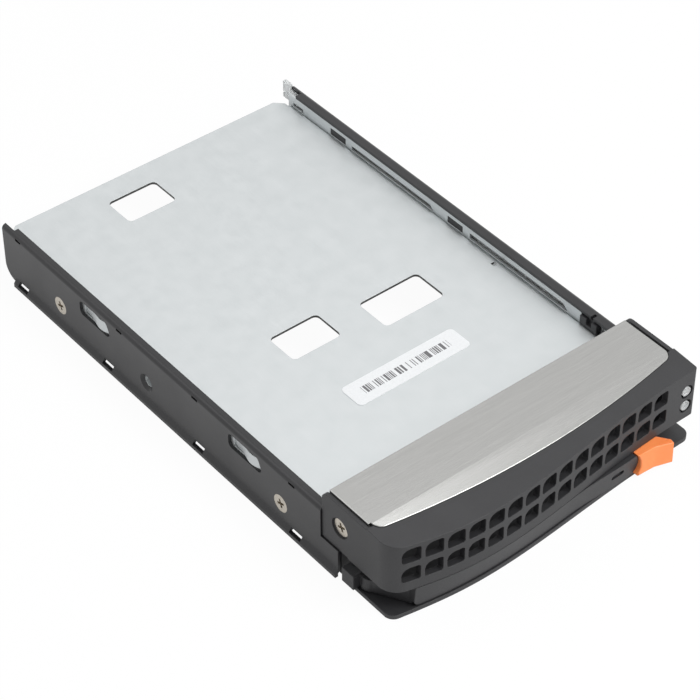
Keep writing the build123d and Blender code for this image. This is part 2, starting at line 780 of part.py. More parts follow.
def plate():
    """Brushed plate with its sides folded down inside the arms."""
    plan = upright(plate_plan(), plate_under_z - margin, plate_top_z + margin)
    body = plan & along_x(plate_section(plate_top_z, plate_sheet), -half_bezel, half_bezel)
    rear_y = corner_y + plate_rear_behind_corner
    side_y = corner_y + plate_side_front_behind_corner
    body += box(plate_left_x, plate_left_x + plate_side_step + 0.1, side_y, rear_y,
                plate_under_z, plate_top_z)
    body += box(plate_left_x, plate_left_x + plate_sheet, side_y, rear_y,
                plate_top_z - plate_side_drop, plate_top_z - 0.1)
    body += box(plate_right_x - plate_sheet, plate_right_x, side_y, rear_y,
                plate_top_z - plate_side_drop, plate_top_z - 0.1)
    return body


def lever_front(x, lean):
    """Front face of the lever at its top (no lean) or its foot (full lean)."""
    top = face_y(x) - lever_stand_out(x)
    foot = pocket_y(x) + lever_foot_inset - lever_stand_out(x) * 0.6
    return top * (1 - lean) + foot * lean


def lever_end(x):
    """The end of the lever seen from its front: it bulges halfway up, towards the button."""
    middle_z = (lever_foot_z + lever_top_z) / 2
    return ThreePointArc((x, lever_foot_z), (x + lever_end_bulge, middle_z), (x, lever_top_z))


def lever_profile():
    """Front view of the lever's wall: rounded foot at its start, bulging end."""
    end = lever_end(lever_right_x)
    sides = Polyline(end @ 1, (lever_left_x, lever_top_z), (lever_left_x, lever_foot_z), end @ 0)
    face = make_face(end + sides)
    foot = face.vertices().sort_by(lambda v: v.X + v.Y)[0]
    return fillet(foot, lever_start_radius)


def lever_wall_body():
    """The curved front wall of the lever, leaning back towards its foot."""
    x0 = lever_left_x
    x1 = lever_right_x + lever_end_bulge + 1
    faces = []
    for z, lean in ((lever_foot_z, 1.0), (lever_top_z, 0.0)):
        front = [lever_front(x0 + (x1 - x0) * i / 10, lean) for i in range(11)]
        near = Spline(*[(x0 + (x1 - x0) * i / 10, y) for i, y in enumerate(front)])
        far = Spline(*[(x0 + (x1 - x0) * i / 10, y + lever_wall) for i, y in enumerate(front)])
        outline = near + far + Line(near @ 0, far @ 0) + Line(near @ 1, far @ 1)
        faces.append(Pos(0, 0, z) * make_face(outline))
    wall = loft(faces, ruled=True)
    return wall & along_y(lever_profile(), nose_y - margin, corner_y + margin)


def lever_web_body():
    """The lever's flat web along its foot, and the ribs that stiffen its wall."""
    x0 = lever_left_x + 1.5
    x1 = lever_right_x - 1.2
    web = band(lambda x: lever_front(x, 1.0) + 1.2, lambda x: lever_front(x, 1.0) + lever_web_reach, x0, x1)
    body = upright(web, lever_foot_z, lever_foot_z + lever_web)
    for i in range(lever_rib_count):
        x = x0 + (x1 - x0) * (i + 0.5) / lever_rib_count
        y = lever_front(x, 1.0)
        y_rear = y + lever_web_reach - 0.6
        rib = polygon((y + 1.8, lever_foot_z + lever_web / 2), (y_rear, lever_foot_z + lever_web / 2),
                      (y_rear, lever_foot_z + lever_web + 1), (y + 1.8, lever_top_z - 0.8))
        body += along_x(rib, x - lever_rib_wall / 2, x + lever_rib_wall / 2)
    return body


def lever_root():
    """The lever's arm, its barrel on the pin, the hook that draws the caddy in, and the spring's post."""
    arm_y = lever_front(lever_left_x, 1.0)
    arm = polygon((pivot_x - barrel_radius * 0.6, pivot_y - barrel_radius * 0.8),
                  (lever_left_x + 0.4, arm_y + 1.2), (lever_left_x + 5.0, arm_y + 2.0),
                  (pivot_x + barrel_radius * 0.9, pivot_y + barrel_radius * 0.4))
    body = upright(arm, lever_foot_z, barrel_top_z)
    body += upright(Pos(pivot_x, pivot_y) * Circle(barrel_radius), lever_foot_z, barrel_top_z)
    hook_y0 = pivot_y + hook_behind_pivot
    hook_y1 = hook_y0 + hook_length
    hook_x = pivot_x - hook_inner_from_pivot
    body += box(hook_x - hook_reach, hook_x, hook_y0, hook_y1, lever_foot_z, lever_foot_z + hook_height)
    body += box(hook_x - 1.2, pivot_x + 0.6, pivot_y, hook_y1 - 1.0, lever_foot_z, barrel_top_z)
    post_x = pivot_x + coil_radius - coil_wire_radius - post_radius - touch_gap
    post = Pos(post_x, pivot_y - coil_leg + 1.0)
    body += upright(post * Circle(post_radius), barrel_top_z - 0.5, lever_top_z - 0.2)
    return body


def lever():
    """The lever: front wall, web with ribs, and its root on the pin."""
    body = lever_wall_body() + lever_web_body() + lever_root()
    body -= Pos(pivot_x, pivot_y, 0) * Cylinder(pin_radius + pin_running_clearance, 4 * bezel_foot_z)
    slot_x = lever_right_x - grip_slot_from_end
    slot_y = lever_front(slot_x, 0.4)
    slot = SlotOverall(grip_slot_length, grip_slot_height)
    body -= along_y(Pos(slot_x, grip_slot_z) * slot, slot_y - 3, slot_y + grip_slot_depth)
    return body


def lever_pin():
    """The pin that the lever turns on, held by the pocket's floor and the bezel's floor."""
    top_z = bezel_foot_z + floor_wall
    return Pos(pivot_x, pivot_y, top_z / 2) * Cylinder(pin_radius, top_z)


def coil(pitch, height, radius, wire, turns):
    """A wound wire of flat-sided section, in short straight runs that keep its mesh light."""
    helix = Helix(pitch, height, radius)
    steps = int(turns * coil_steps)
    path = Polyline(*[helix @ (i / steps) for i in range(steps + 1)])
    section = Plane(origin=path @ 0, z_dir=path % 0) * RegularPolygon(wire, 6)
    return sweep(section, path=path, transition=Transition.RIGHT), path


def lever_spring():
    """Torsion spring round the pin: one leg on the lever's post, one on the spine."""
    foot_z = barrel_top_z + coil_wire_radius + coil_lift
    coil_height = coil_pitch * coil_turns
    body, path = coil(coil_pitch, coil_height, coil_radius, coil_wire_radius, coil_turns)
    low = Plane(origin=path @ 0, z_dir=Vector(0, -1, 0)) * RegularPolygon(coil_wire_radius, 6)
    body += extrude(low, amount=coil_leg)
    high = Plane(origin=path @ 1, z_dir=Vector(0, 1, 0)) * RegularPolygon(coil_wire_radius, 6)
    body += extrude(high, amount=coil_short_leg)
    return Pos(pivot_x, pivot_y, foot_z) * body


def button():
    """The orange release button: a flared face on a body that slides in the pocket."""
    face = corner_y - button_face_before_corner
    flare_x = button_right_x + button_flare_reach
    flare_y = corner_y - button_flare_before_corner
    knee_x = button_left_x + button_body_width * button_knee_share
    wing_y = corner_y + button_wing_root_behind_corner
    x0 = button_left_x - 1.5
    faces = []
    for z, out in ((lever_foot_z, button_face_lean), (lever_top_z, 0.0)):
        points = ((x0, face - out), (knee_x, face - 0.3 - out), (flare_x, flare_y - out / 2),
                  (flare_x + 0.4, flare_y + button_flare_depth), (button_right_x, wing_y),
                  (button_right_x, button_rear_y), (x0, button_rear_y))
        faces.append(Pos(0, 0, z) * polygon(*points))
    body = loft(faces, ruled=True)
    end = lever_end(button_left_x)
    sides = Polyline(end @ 1, (x0 - 1, lever_top_z), (x0 - 1, lever_foot_z), end @ 0)
    body -= along_y(make_face(end + sides), nose_y - margin, button_rear_y + 1)
    middle_z = (lever_foot_z + lever_top_z) / 2
    bore_y = button_rear_y - button_spring_bore_depth
    bore = Pos(button_spring_x, middle_z) * Circle(button_spring_bore_radius)
    body -= along_y(bore, bore_y, button_rear_y + 1)
    return body


def button_spring():
    """Compression spring between the button's bore and the spine."""
    middle_z = (lever_foot_z + lever_top_z) / 2
    y0 = button_rear_y - button_spring_bore_depth + button_spring_wire + touch_gap
    y1 = spine_y - button_spring_wire - touch_gap
    length = y1 - y0
    pitch = length / button_spring_turns
    body, path = coil(pitch, length, button_spring_radius, button_spring_wire, button_spring_turns)
    return Pos(button_spring_x, y0, middle_z) * Rot(-90, 0, 0) * body


def light_pipe(lamp_z, row_z, tip_rise):
    """A clear pipe from its lamp window, across into the rail's channel and on to the rear."""
    half = pipe_width / 2
    low = pipe_height / 2
    rear_x = pipe_rear_x
    head_rear_y = corner_y + lamp_head_length
    cross_rear_y = clip_places[0][0] - touch_gap * 8
    cross_front_y = cross_rear_y - pipe_cross_run
    plan = polygon((lamp_x - half, head_rear_y - 0.5), (lamp_x + half, head_rear_y - 0.5),
                   (lamp_x + half, cross_front_y), (rear_x + half, cross_rear_y),
                   (rear_x + half, half_length), (rear_x - half, half_length),
                   (rear_x - half, cross_rear_y), (lamp_x - half, cross_front_y))
    drop_front_y = corner_y + pipe_drop_front_behind_corner
    drop_rear_y = corner_y + pipe_drop_rear_behind_corner
    side = polygon((head_rear_y - 1, lamp_z - low), (drop_front_y, lamp_z - low),
                   (drop_rear_y, row_z - low), (half_length + 1, row_z - low),
                   (half_length + 1, row_z + low), (drop_rear_y, row_z + low),
                   (drop_front_y, lamp_z + low), (head_rear_y - 1, lamp_z + low))
    body = upright(plan, 0, margin * 2) & along_x(side, 0, margin * 4)
    front_y = face_y(lamp_x) - lamp_proud
    body += along_y(Pos(lamp_x, lamp_z) * Circle(lamp_head_radius), front_y, head_rear_y)
    if tip_rise:
        body += box(rear_x - half, rear_x + half, half_length - pipe_tip_length, half_length,
                    row_z, row_z + low + tip_rise)
    return body


def pipe_clip(y0, y1, fills_front):
    """A black clip that holds both light pipes and fills its cut-out in the liner."""
    inner_x = right_liner_x + liner_sheet + touch_gap
    body = box(inner_x, rail_inner_x - touch_gap, y0, y1, clip_foot_z, clip_top_z)
    foot = tray_z + touch_gap
    if fills_front:
        middle = (y0 + y1) / 2
        body += box(right_liner_x - clip_fence, inner_x + 0.01, y0, y1, foot, clip_top_z)
        body -= box(right_liner_x - 2, inner_x - 0.4, middle - 1.2, middle + 0.8,
                    foot + 1.2, clip_top_z + 1)
    else:
        body += box(right_liner_x + touch_gap * 2, inner_x + 0.01, y0, y1, foot, clip_window_top_z)
    gap = touch_gap * 2
    for row in pipe_rows:
        body -= box(pipe_rear_x - pipe_width / 2 - gap, rail_inner_x + 1, y0 - 1, y1 + 1,
                    row - pipe_height / 2 - gap, row + pipe_height / 2 + gap)
    return body


def label():
    """Paper label on the tray, with rounded corners."""
    face = RectangleRounded(label_width, label_depth, label_radius)
    return upright(Pos(label_x, arm_rear_y + label_behind_arm) * face, tray_z, tray_z + label_sheet)


left_screw_length = half_rails - (-tray_left_x - tray_sheet)
right_screw_length = half_rails - (tray_right_x - tray_sheet)
bezel_screw_x = half_bezel - bezel_screw_sink
bezel_screw_length = bezel_screw_x - arm_inner_x + touch_gap + liner_sheet + bezel_screw_run_out

nodes = {
    "left_rail": left_rail(),
    "right_rail": right_rail(),
    "left_liner": left_liner(),
    "right_liner": right_liner(),
    "drive_tray": tray(),
    "tray_label": label(),
    "bezel": bezel(),
    "bezel_plate": plate(),
    "lever": lever(),
    "lever_pin": lever_pin(),
    "lever_spring": lever_spring(),
    "release_button": button(),
    "button_spring": button_spring(),
    "light_pipe_lower": light_pipe(lamp_rows[0], pipe_rows[0], 0.0),
    "light_pipe_upper": light_pipe(lamp_rows[1], pipe_rows[1], pipe_tip_rise),
    "left_screw_rear": screw(-1, -half_rails, screw_rear_y, screw_z, left_screw_length),
    "left_screw_front": screw(-1, -half_rails, screw_front_y, screw_z, left_screw_length),
    "right_screw_rear": screw(1, half_rails, screw_rear_y, screw_z, right_screw_length),
    "right_screw_front": screw(1, half_rails, screw_front_y, screw_z, right_screw_length),
    "left_bezel_screw": screw(-1, -bezel_screw_x, bezel_screw_y, bezel_screw_z, bezel_screw_length),
    "right_bezel_screw": screw(1, bezel_screw_x, bezel_screw_y, bezel_screw_z, bezel_screw_length),
}
for name, (y0, y1) in zip(("front", "middle", "rear"), clip_places):
    nodes["light_pipe_clip_" + name] = pipe_clip(y0, y1, name == "front")

os.makedirs("parts", exist_ok=True)
for name, solid in nodes.items():
    solid.label = name
    export_step(solid, "parts/" + name + ".step")
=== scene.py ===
# %% [markdown]
# # A hot swap drive caddy
# This file dresses a finished CAD model of a drive caddy: the sled on which a
# drive slides into a server. The solids come from the CAD part. What this file
# adds is what a photograph shows: finishes, light, a camera, and the small
# things that are too fine for the solids, such as wound springs and the bars
# on the label.

# %% Load the frame
from math import cos, pi, radians, sin

import bmesh
import bpy
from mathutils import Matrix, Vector


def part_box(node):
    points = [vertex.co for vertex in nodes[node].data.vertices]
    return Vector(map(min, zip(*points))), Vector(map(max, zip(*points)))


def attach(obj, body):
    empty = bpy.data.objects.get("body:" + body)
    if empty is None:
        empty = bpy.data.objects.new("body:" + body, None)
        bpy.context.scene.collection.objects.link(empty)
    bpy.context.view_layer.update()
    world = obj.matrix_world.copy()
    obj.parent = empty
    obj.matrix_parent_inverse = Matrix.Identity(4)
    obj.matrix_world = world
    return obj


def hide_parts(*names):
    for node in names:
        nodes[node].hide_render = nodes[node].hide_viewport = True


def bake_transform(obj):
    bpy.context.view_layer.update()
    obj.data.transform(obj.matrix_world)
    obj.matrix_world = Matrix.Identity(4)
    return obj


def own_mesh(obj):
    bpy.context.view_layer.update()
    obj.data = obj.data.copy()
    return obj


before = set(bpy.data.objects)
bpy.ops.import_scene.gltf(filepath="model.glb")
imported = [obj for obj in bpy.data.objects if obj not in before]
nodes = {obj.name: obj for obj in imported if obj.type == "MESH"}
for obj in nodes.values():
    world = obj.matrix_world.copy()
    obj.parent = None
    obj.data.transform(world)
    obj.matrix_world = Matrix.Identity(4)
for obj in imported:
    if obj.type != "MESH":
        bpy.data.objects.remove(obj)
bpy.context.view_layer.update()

# %% [markdown]
# ## Colours and nodes
# A colour picked from a screen is an sRGB value, but a shader mixes linear
# light. One function makes that change, so each colour below is written as the
# hex value that a paint program would show. Another small function adds one
# shader node, sets its values and joins its inputs; every material below is
# made with it. The other two start a material and make a ramp of colours.

# %% Helpers for every material
MM = 0.001


def linear(hex_colour):
    """An sRGB hex value as the linear colour that a shader takes."""
    channels = [int(hex_colour[i:i + 2], 16) / 255 for i in (1, 3, 5)]
    return [c / 12.92 if c <= 0.04045 else ((c + 0.055) / 1.055) ** 2.4
            for c in channels] + [1.0]


def add(tree, kind, links=None, values=None, **settings):
    """One node: settings by name, values by socket, and links into its sockets."""
    node = tree.nodes.new(kind)
    for name, value in settings.items():
        setattr(node, name, value)
    for socket, value in (values or {}).items():
        node.inputs[socket].default_value = value
    for socket, source in (links or {}).items():
        tree.links.new(source, node.inputs[socket])
    return node


def new_material(name, **values):
    """A material and its shader; the values go straight to the shader's sockets."""
    material = bpy.data.materials.new(name)
    material.use_nodes = True
    tree = material.node_tree
    shader = tree.nodes["Principled BSDF"]
    for socket, value in values.items():
        shader.inputs[socket.replace("_", " ")].default_value = value
    return material, tree, shader


def ramp(tree, source, *stops):
    """A ramp from a pattern's value to colours, as (position, hex) stops."""
    node = add(tree, "ShaderNodeValToRGB", links={"Fac": source})
    steps = node.color_ramp.elements
    for i, (position, colour) in enumerate(stops):
        step = steps[i] if i < 2 else steps.new(position)
        step.position = position
        step.color = linear(colour)
    return node.outputs["Color"]


print("one millimetre is", MM, "in the scene")

# %% [markdown]
# ## Black painted steel: the two rails
# The rails are folded from sheet steel and coated with a satin black paint.
# Paint on pressed steel dries with a very faint ripple, called orange peel,
# and its gloss varies a little. It could be one flat black, but then the long
# walls would look like plastic. A broad noise moves the gloss, a fine one
# lifts the surface by about a hundredth of a millimetre, and a Bevel node
# rounds the light on the cut edges, which the sheet's mesh leaves sharp.

# %% Painted steel
def place(tree):
    """Where a point lies on the piece, in metres; it moves with the piece."""
    return add(tree, "ShaderNodeTexCoord").outputs["Object"]


def grain(tree, millimetres, stretch=(1, 1, 1), detail=3.0, rough=0.5):
    """A noise whose features are about this many millimetres wide."""
    spread = add(tree, "ShaderNodeMapping", links={"Vector": place(tree)},
                 values={"Scale": stretch})
    noise = add(tree, "ShaderNodeTexNoise", links={"Vector": spread.outputs["Vector"]},
                values={"Scale": 1 / (millimetres * MM), "Detail": detail, "Roughness": rough})
    return noise.outputs["Fac"]


def between(tree, source, low, high):
    """A pattern's middle range as values from low to high, for roughness."""
    spread = add(tree, "ShaderNodeMapRange", links={"Value": source},
                 values={"From Min": 0.3, "From Max": 0.7, "To Min": low, "To Max": high})
    return spread.outputs["Result"]


def surface(tree, shader, height, lift_mm, edge_mm=None):
    """Relief from a pattern, lifted by so many millimetres, on softly rounded edges."""
    links = {"Height": height}
    if edge_mm:
        soft = add(tree, "ShaderNodeBevel", values={"Radius": edge_mm * MM}, samples=6)
        links["Normal"] = soft.outputs["Normal"]
    bump = add(tree, "ShaderNodeBump", links=links,
               values={"Strength": 1.0, "Distance": lift_mm * MM})
    tree.links.new(bump.outputs["Normal"], shader.inputs["Normal"])


def painted_steel():
    """Satin black paint on folded steel."""
    material, tree, shader = new_material("satin_black_paint_on_steel", IOR=1.5)
    peel = grain(tree, 0.9, detail=2.0)
    cloud = grain(tree, 14.0, detail=4.0)
    colour = ramp(tree, cloud, (0.35, "#1e1e20"), (0.65, "#242426"))
    tree.links.new(colour, shader.inputs["Base Color"])
    tree.links.new(between(tree, cloud, 0.32, 0.42), shader.inputs["Roughness"])
    surface(tree, shader, peel, 0.012, edge_mm=0.15)
    return material


black_paint = painted_steel()
print("made", black_paint.name)

# %% [markdown]
# ## Galvanised sheet: the tray and the liners
# The tray is cold-rolled sheet with a thin zinc coat. It is bright but not shiny: the rolls
# leave fine lines along the sheet, and the zinc dries in small pale and dark patches. The
# patches are drawn with a noise about 5 mm wide, the lines with a noise stretched along the
# sheet. Metal takes its colour from its reflection, so the pattern also moves the roughness.
# Where the windows are punched, the sheared edges are painted a much darker grey: this is
# painted shade on the sheet's thickness. The normal tells an edge from the flat sheet, and a
# range along X keeps the walls of the tray bright.

# %% Zinc coated sheet
def inside(tree, value, low, high):
    """1 where a value lies between two limits, else 0."""
    over = add(tree, "ShaderNodeMath", operation="GREATER_THAN",
               links={0: value}, values={1: low})
    under = add(tree, "ShaderNodeMath", operation="LESS_THAN",
                links={0: value}, values={1: high})
    both = add(tree, "ShaderNodeMath", operation="MULTIPLY",
               links={0: over.outputs["Value"], 1: under.outputs["Value"]})
    return both.outputs["Value"]


def covered(tree, base, hex_colour, mask):
    """A colour that gives way to another one where a mask is 1."""
    colour_a, colour_b, colour_out = 6, 7, 2  # sockets of a Mix node that mixes colours
    mix = add(tree, "ShaderNodeMix", data_type="RGBA", links={"Factor": mask, colour_a: base},
              values={colour_b: linear(hex_colour)})
    return mix.outputs[colour_out]


sheared_from, sheared_to = -49.5 * MM, 49.0 * MM
upright = 0.5


def zinc_sheet():
    """Galvanised sheet with a faint mottle and fine rolling lines."""
    material, tree, shader = new_material("galvanised_sheet", Metallic=1.0)
    mottle = grain(tree, 5.0, detail=5.0, rough=0.6)
    lines = grain(tree, 0.5, stretch=(1.0, 0.04, 1.0), detail=2.0)
    blended = add(tree, "ShaderNodeMix", links={"A": mottle, "B": lines},
                  values={"Factor": 0.3})
    colour = ramp(tree, blended.outputs["Result"], (0.3, "#c4c8c9"), (0.7, "#cbcecf"))
    normal = add(tree, "ShaderNodeTexCoord").outputs["Normal"]
    facing = add(tree, "ShaderNodeSeparateXYZ", links={"Vector": normal})
    axes = add(tree, "ShaderNodeSeparateXYZ", links={"Vector": place(tree)})
    # Upright faces inside the X range are the window edges; they get a dark grey, which is
    # painted shade on the sheet's thickness.
    edge_shade_mask = add(tree, "ShaderNodeMath", operation="MULTIPLY", links={
        0: inside(tree, facing.outputs["Z"], -upright, upright),
        1: inside(tree, axes.outputs["X"], sheared_from, sheared_to)})
    edge_painted_shade = covered(tree, colour, "#5e5e5d", edge_shade_mask.outputs["Value"])
    tree.links.new(edge_painted_shade, shader.inputs["Base Color"])
    gloss = between(tree, blended.outputs["Result"], 0.46, 0.58)
    tree.links.new(gloss, shader.inputs["Roughness"])
    surface(tree, shader, blended.outputs["Result"], 0.005, edge_mm=0.15)
    return material


zinc = zinc_sheet()
print("made", zinc.name)

# %% [markdown]
# ## Brushed stainless steel: the plate on the bezel
# The plate is stainless sheet, ground along its length with an abrasive belt.
# The belt leaves scratches a few hundredths of a millimetre wide, all in one
# direction, and they spread the light across the plate. They are too fine to
# show, so they are drawn three times as wide, as a noise stretched fifty
# times along X. The scratches tilt the surface a little across the grain,
# which spreads the reflection in that direction.

# %% Brushed plate
def brushed_steel():
    """Stainless sheet with belt scratches along X."""
    material, tree, shader = new_material("brushed_stainless_steel", Metallic=1.0)
    scratch = grain(tree, 0.14, stretch=(0.02, 1.0, 1.0), detail=3.0, rough=0.65)
    streak = grain(tree, 1.1, stretch=(0.03, 1.0, 1.0), detail=2.0)
    blended = add(tree, "ShaderNodeMix", links={"A": scratch, "B": streak},
                  values={"Factor": 0.25})
    colour = ramp(tree, blended.outputs["Result"], (0.3, "#aaaaa8"), (0.7, "#b4b4b2"))
    tree.links.new(colour, shader.inputs["Base Color"])
    gloss = between(tree, blended.outputs["Result"], 0.2, 0.25)
    tree.links.new(gloss, shader.inputs["Roughness"])
    surface(tree, shader, blended.outputs["Result"], 0.0025)
    return material


brushed = brushed_steel()
print("made", brushed.name)

# %% [markdown]
# ## Black moulded plastic: bezel, lever and clips
# These are injection moulded from a black ABS blend. The mould is spark
# eroded, which leaves an even matte grain about 0.3 mm wide on every face.
# The grain is what keeps the plastic from looking wet: it is a bump of fine
# noise, with a high roughness. A Bevel node again rounds the light at the
# edges, as the real moulding has small radii everywhere.

# %% Moulded plastics
def moulded(name, dark, light, rough, grain_mm, **values):
    """Injection moulded plastic with a spark-eroded grain."""
    material, tree, shader = new_material(name, IOR=1.53, **values)
    spark = grain(tree, grain_mm, detail=2.0, rough=0.6)
    flow = grain(tree, 11.0, detail=3.0)
    tree.links.new(ramp(tree, flow, (0.35, dark), (0.65, light)), shader.inputs["Base Color"])
    gloss = between(tree, spark, rough - 0.05, rough + 0.05)
    tree.links.new(gloss, shader.inputs["Roughness"])
    surface(tree, shader, spark, 0.012, edge_mm=0.3)
    return material


black_abs = moulded("spark_eroded_black_abs", "#212123", "#262628", 0.5, 0.3)
print("made", black_abs.name)

# %% [markdown]
# ## Orange moulded plastic: the release button
# The button is the same kind of plastic in a strong orange, so that a hand
# finds it. Orange pigment lets a little light in below the surface, which
# softens its shadows: a small subsurface weight does that.

# %% Orange plastic
orange_abs = moulded("orange_abs", "#ff8d4c", "#ff9554", 0.44, 0.3,
                     Subsurface_Weight=0.08, Subsurface_Scale=0.6 * MM)
orange_shader = orange_abs.node_tree.nodes["Principled BSDF"]
orange_shader.inputs["Subsurface Radius"].default_value = (1.0, 0.4, 0.2)
print("made", orange_abs.name)

# %% [markdown]
# ## Clear polycarbonate: the light pipes
# The pipes carry the light of two lamps on the server's backplane to the
# windows in the bezel. They are moulded from clear polycarbonate, whose index
# of refraction is 1.585. Their skin is slightly frosted, which spreads the
# light; a fine grain in the roughness gives that.

# %% Clear plastic
def clear_plastic():
    """Clear polycarbonate with a slightly frosted skin."""
    material, tree, shader = new_material("clear_polycarbonate", IOR=1.585,
                                          Transmission_Weight=0.55)
    frost = grain(tree, 0.4, detail=2.0)
    cloud = grain(tree, 6.0, detail=2.0)
    colour = ramp(tree, cloud, (0.35, "#e9ecec"), (0.65, "#f6f8f8"))
    tree.links.new(colour, shader.inputs["Base Color"])
    tree.links.new(between(tree, frost, 0.3, 0.45), shader.inputs["Roughness"])
    surface(tree, shader, frost, 0.004, edge_mm=0.15)
    return material


clear_pc = clear_plastic()
print("made", clear_pc.name)

# %% [markdown]
# ## Small metal parts
# The screws are zinc-nickel plated, which is a warm silver. The hinge pin is
# ground steel, with fine rings round it from the grinding wheel. The springs
# are drawn music wire, with finer and fainter marks. All three are metals, so
# they keep the shader's own index of refraction, and differ in colour,
# roughness and in the direction of their fine marks.

# %% Plated, ground and drawn metal
def small_metal(name, dark, light, rough, marks_mm, stretch, lift_mm):
    """A metal with fine marks in one direction."""
    material, tree, shader = new_material(name, Metallic=1.0)
    marks = grain(tree, marks_mm, stretch=stretch, detail=3.0)
    tree.links.new(ramp(tree, marks, (0.3, dark), (0.7, light)), shader.inputs["Base Color"])
    gloss = between(tree, marks, rough - 0.06, rough + 0.06)
    tree.links.new(gloss, shader.inputs["Roughness"])
    surface(tree, shader, marks, lift_mm, edge_mm=0.1)
    return material


plated = small_metal("zinc_nickel_plated_steel", "#b5aea2", "#d3ccc0", 0.34,
                     0.35, (1, 1, 1), 0.006)
ground = small_metal("ground_steel", "#b4b6b8", "#cdcfd1", 0.22,
                     0.12, (0.1, 0.1, 1), 0.003)
wire = small_metal("drawn_spring_wire", "#a9a7a3", "#c4c2be", 0.28,
                   0.1, (1, 1, 0.2), 0.002)
print("made", plated.name, ground.name, wire.name)

# %% [markdown]
# ## Label paper with plain bars
# The label is coated white paper. It carries a row of dark bars that mean
# nothing: a random value for every strip of 0.25 mm along the label says
# whether that strip is inked. Snapping the coordinate to strips and feeding
# it to a White Noise node gives that without any drawing. Two ranges, one
# along the label and one across, keep the bars in its middle.

# %% Label
label_low, label_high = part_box("tray_label")
end_margin, front_margin, rear_margin = 4.6 * MM, 3.0 * MM, 2.9 * MM
bar_low = (label_low.x + end_margin, label_low.y + front_margin)
bar_high = (label_high.x - end_margin, label_high.y - rear_margin)
strip = 0.25 * MM
bare_share = 0.5


def label_paper():
    """White coated paper with a row of plain bars."""
    material, tree, shader = new_material("coated_label_paper", IOR=1.5)
    axes = add(tree, "ShaderNodeSeparateXYZ", links={"Vector": place(tree)})
    snapped = add(tree, "ShaderNodeMath", operation="SNAP",
                  links={0: axes.outputs["X"]}, values={1: strip})
    random = add(tree, "ShaderNodeTexWhiteNoise", noise_dimensions="1D",
                 links={"W": snapped.outputs["Value"]})
    ink = add(tree, "ShaderNodeMath", operation="GREATER_THAN",
              links={0: random.outputs["Value"]}, values={1: bare_share})
    along = inside(tree, axes.outputs["X"], bar_low[0], bar_high[0])
    across = inside(tree, axes.outputs["Y"], bar_low[1], bar_high[1])
    window = add(tree, "ShaderNodeMath", operation="MULTIPLY", links={0: along, 1: across})
    printed = add(tree, "ShaderNodeMath", operation="MULTIPLY",
                  links={0: window.outputs["Value"], 1: ink.outputs["Value"]})
    fibre = grain(tree, 0.5, detail=3.0)
    paper = ramp(tree, fibre, (0.3, "#e2e4e5"), (0.7, "#e9ebec"))
    colour = covered(tree, paper, "#68686a", printed.outputs["Value"])
    tree.links.new(colour, shader.inputs["Base Color"])
    tree.links.new(between(tree, fibre, 0.42, 0.52), shader.inputs["Roughness"])
    surface(tree, shader, fibre, 0.004)
    return material


paper = label_paper()
print("made", paper.name, "with strips of", round(strip / MM, 2), "mm")

# %% [markdown]
# ## Give every solid its finish
# Each CAD node keeps its mesh and its place. Only its material slots change.
# A small table says which finish each piece has, so that nothing is missed:
# the last line lists the nodes that have none.

# %% Finishes by piece
finishes = {
    "left_rail": black_paint, "right_rail": black_paint,
    "left_liner": zinc, "right_liner": zinc, "drive_tray": zinc,
    "tray_label": paper, "bezel_plate": brushed,
    "bezel": black_abs, "lever": black_abs,
    "release_button": orange_abs,
    "light_pipe_lower": clear_pc, "light_pipe_upper": clear_pc,
    "lever_pin": ground, "lever_spring": wire, "button_spring": wire,
}
for name in nodes:
    if name.startswith("light_pipe_clip"):
        finishes[name] = black_abs
    if "screw" in name:
        finishes[name] = plated
for name, finish in finishes.items():
    mesh = nodes[name].data
    if not mesh.materials:
        mesh.materials.append(finish)
    for i in range(len(mesh.materials)):
        mesh.materials[i] = finish
print("finished:", len(finishes), "without:", sorted(set(nodes) - set(finishes)))

# %% [markdown]
# ## Wound springs
# The CAD springs are wound from short straight runs, to keep the solid light.
# On the real part the wire is round and bends smoothly, so each is made again as a curve along
# a helix, with a round bevel for the wire. The helix takes its middle, its radius and its
# length from the box of the CAD spring. The torsion spring's coils stand round the pin, with a
# straight leg at each end.

# %% Springs from a helix
drawn_share = 0.95


def wound(name, points, wire_radius):
    """A round wire along a list of points, a little thinner than its room."""
    curve = bpy.data.curves.new(name, "CURVE")
    curve.dimensions = "3D"
    curve.bevel_depth = wire_radius * drawn_share
    curve.bevel_resolution = 3
    curve.use_fill_caps = True
    spline = curve.splines.new("POLY")
    spline.points.add(len(points) - 1)
    for knot, point in zip(spline.points, points):
        knot.co = (*point, 1.0)
    draft = bpy.data.objects.new(name + "_draft", curve)
    mesh = bpy.data.meshes.new_from_object(draft)
    bpy.data.objects.remove(draft)
    mesh.name = name
    for face in mesh.polygons:
        face.use_smooth = True
    mesh.materials.clear()
    mesh.materials.append(wire)
    piece = bpy.data.objects.new(name, mesh)
    bpy.context.scene.collection.objects.link(piece)
    return piece


def helix(turns, steps, at):
    """Points of a helix: at(angle, share) gives each one."""
    count = int(turns * steps)
    return [at(2 * pi * turns * i / count, i / count) for i in range(count + 1)]


wire_push, push_turns, push_steps = 0.22 * MM, 5.0, 24
low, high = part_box("button_spring")
middle = (low + high) / 2
push_radius = (high.x - low.x) / 2 - wire_push
push_points = helix(push_turns, push_steps, lambda angle, share: (
    middle.x + push_radius * cos(angle),
    low.y + wire_push + (high.y - low.y - 2 * wire_push) * share,
    middle.z + push_radius * sin(angle)))
push_spring = wound("wound_push_spring", push_points, wire_push)
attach(push_spring, "chassis")
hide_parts("button_spring")
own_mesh(push_spring)

